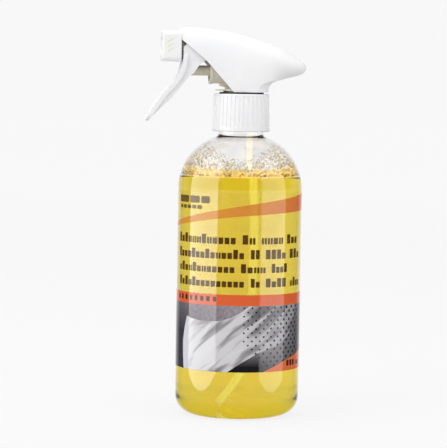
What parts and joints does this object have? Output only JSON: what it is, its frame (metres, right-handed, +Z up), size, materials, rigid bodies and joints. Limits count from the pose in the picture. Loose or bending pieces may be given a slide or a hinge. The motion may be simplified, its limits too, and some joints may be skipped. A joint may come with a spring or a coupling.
{
  "type": "trigger spray bottle",
  "caption": "Clear round spray bottle of yellow lubricant with a printed film label, a fluted screw collar and a white trigger sprayer with pump, nozzle and dip tube.",
  "frame": {"origin": "centre of the bottle's base, on the surface it stands on", "axes": "+Z up along the bottle's axis, -X the way the nozzle sprays, -Y the side the label faces"},
  "size_m": [0.092, 0.071, 0.2213],
  "materials": {
    "clear_pet": "clear gloss",
    "yellow_liquid": "clear liquid",
    "printed_film": "clear printed film",
    "white_plastic": "satin moulded white",
    "cream_plastic": "natural moulded",
    "black_plastic": "matte black",
    "seal_rubber": "soft seal",
    "tube_plastic": "translucent",
    "ball_glass": "polished",
    "spring_steel": "drawn wire"
  },
  "bodies": {
    "bottle": {"bottle": "clear_pet", "liquid": "yellow_liquid", "label": "printed_film"},
    "head": {"pump_body": "cream_plastic", "shroud": "white_plastic", "collar_retainer": "black_plastic", "neck_gasket": "seal_rubber", "inlet_fitting": "cream_plastic", "column_plug": "cream_plastic", "dip_tube": "tube_plastic", "swirl_spinner": "white_plastic", "nozzle_seal": "seal_rubber", "return_spring": "spring_steel"},
    "collar": {"closure_collar": "white_plastic"},
    "trigger": {"trigger": "white_plastic"},
    "piston": {"piston_rod": "cream_plastic", "piston_cup": "seal_rubber"},
    "nozzle": {"nozzle_cap": "white_plastic"},
    "inlet_ball": {"inlet_ball": "ball_glass"},
    "outlet_ball": {"outlet_ball": "ball_glass"}
  },
  "joints": [
    {"name": "head_lift", "type": "slide", "parent": "bottle", "child": "head", "axis": [0, 0, 1], "range_m": [0, 0.00953]},
    {"name": "collar_turn", "type": "hinge", "parent": "head", "child": "collar", "pos_m": [0, 0, 0.1733], "axis": [0, 0, 1], "range_deg": [0, 810]},
    {"name": "trigger_swing", "type": "hinge", "parent": "head", "child": "trigger", "pos_m": [-0.0276, 0, 0.2106], "axis": [0, -1, 0], "range_deg": [0, 24]},
    {"name": "piston_slide", "type": "slide", "parent": "head", "child": "piston", "axis": [1, 0, 0], "range_m": [0, 0.0058], "deforming": ["return_spring"]},
    {"name": "nozzle_turn", "type": "hinge", "parent": "head", "child": "nozzle", "pos_m": [-0.0415, 0, 0.2106], "axis": [1, 0, 0], "continuous": true},
    {"name": "inlet_ball_lift", "type": "slide", "parent": "head", "child": "inlet_ball", "axis": [0, 0, 1], "range_m": [0, 0.001]},
    {"name": "outlet_ball_lift", "type": "slide", "parent": "head", "child": "outlet_ball", "axis": [0, 0, 1], "range_m": [0, 0.001]}
  ],
  "couplings": [
    {"joint": "head_lift", "follows": "collar_turn", "m_per_rad": 0.0006737},
    {"joint": "piston_slide", "follows": "trigger_swing", "m_per_rad": 0.013802}
  ]
}
